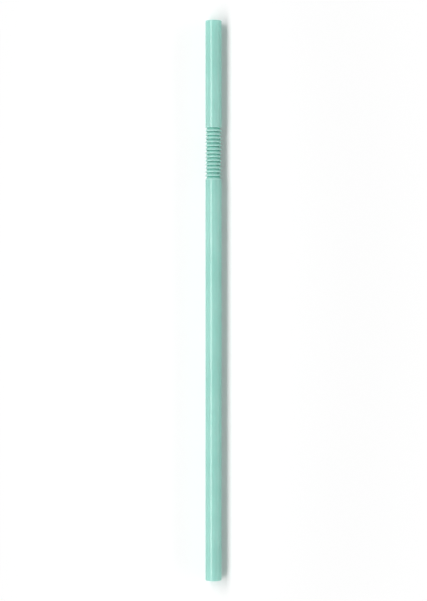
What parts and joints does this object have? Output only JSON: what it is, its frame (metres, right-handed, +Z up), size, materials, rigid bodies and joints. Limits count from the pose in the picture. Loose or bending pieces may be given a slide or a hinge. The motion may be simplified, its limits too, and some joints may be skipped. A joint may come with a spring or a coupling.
{
  "type": "drinking straw",
  "caption": "Flexible plastic drinking straw: a thin round tube with a pleated bellows near the mouth end, straight, as new.",
  "frame": {"origin": "on the surface that the straw lies on, under the middle of its length", "axes": "+Y along the straw towards its mouth end, which is the end nearer the bellows; +Z up from the surface that it lies on; X across"},
  "size_m": [0.006, 0.21, 0.006],
  "materials": {
    "straw_plastic": "translucent pastel mint polypropylene, smooth, with a soft gloss"
  },
  "bodies": {
    "root": {"straw": "straw_plastic"}
  },
  "joints": []
}
